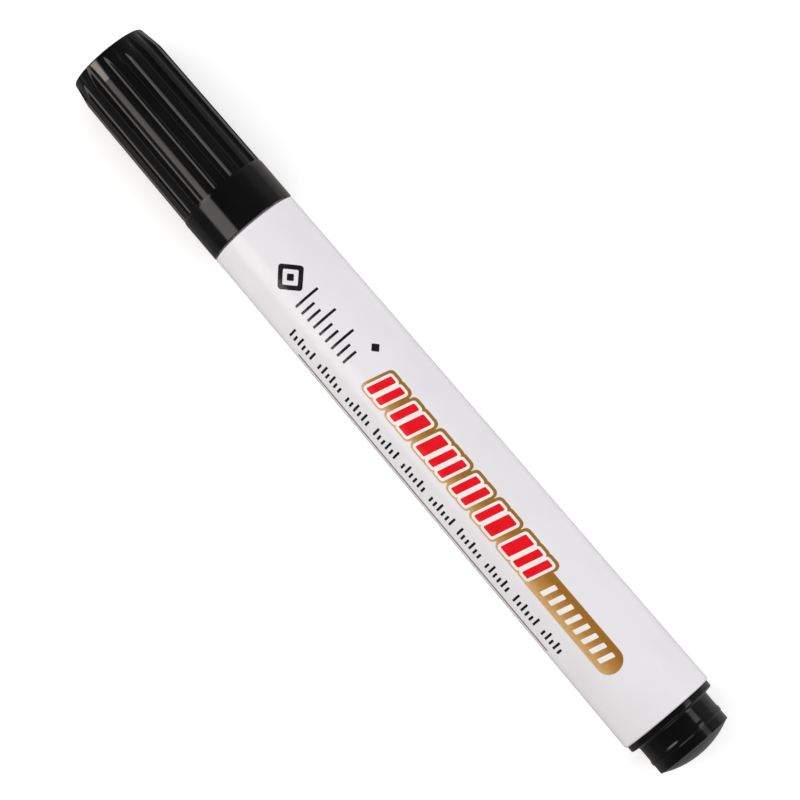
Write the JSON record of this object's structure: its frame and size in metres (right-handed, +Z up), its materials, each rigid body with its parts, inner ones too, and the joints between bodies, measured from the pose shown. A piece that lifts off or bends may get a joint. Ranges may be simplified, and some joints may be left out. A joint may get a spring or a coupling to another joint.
{
  "type": "whiteboard marker",
  "caption": "Capped whiteboard marker with a tapered white barrel, a fluted black push-on cap, a bullet nib, an ink reservoir and a domed black tail plug.",
  "frame": {"origin": "bottom centre of the whole marker as it lies, midway along its length, under its axis", "axes": "+X along the marker's axis towards the tail plug, the cap towards -X, +Z up"},
  "size_m": [0.1372, 0.016, 0.0161],
  "materials": {
    "black_plastic": "glossy moulded black",
    "white_plastic": "glossy moulded cool white",
    "natural_plastic": "unpigmented moulded plastic",
    "nib_fibre": "bonded fibre soaked with black ink",
    "reservoir_fibre": "fibre wadding soaked with black ink",
    "clear_film": "thin translucent film",
    "print_black": "printed black ink",
    "print_red": "printed red ink",
    "print_gold": "printed gold-brown ink",
    "print_white": "printed white ink"
  },
  "bodies": {
    "barrel": {"barrel": "white_plastic", "nib_holder": "natural_plastic", "nib": "nib_fibre", "reservoir_core": "reservoir_fibre", "reservoir_film": "clear_film", "tail_plug": "black_plastic"},
    "cap": {"cap_shell": "black_plastic", "inner_cap": "natural_plastic"}
  },
  "joints": [
    {"name": "cap_pull", "type": "slide", "parent": "barrel", "child": "cap", "axis": [-1, 0, 0], "range_m": [0, 0.04]}
  ]
}
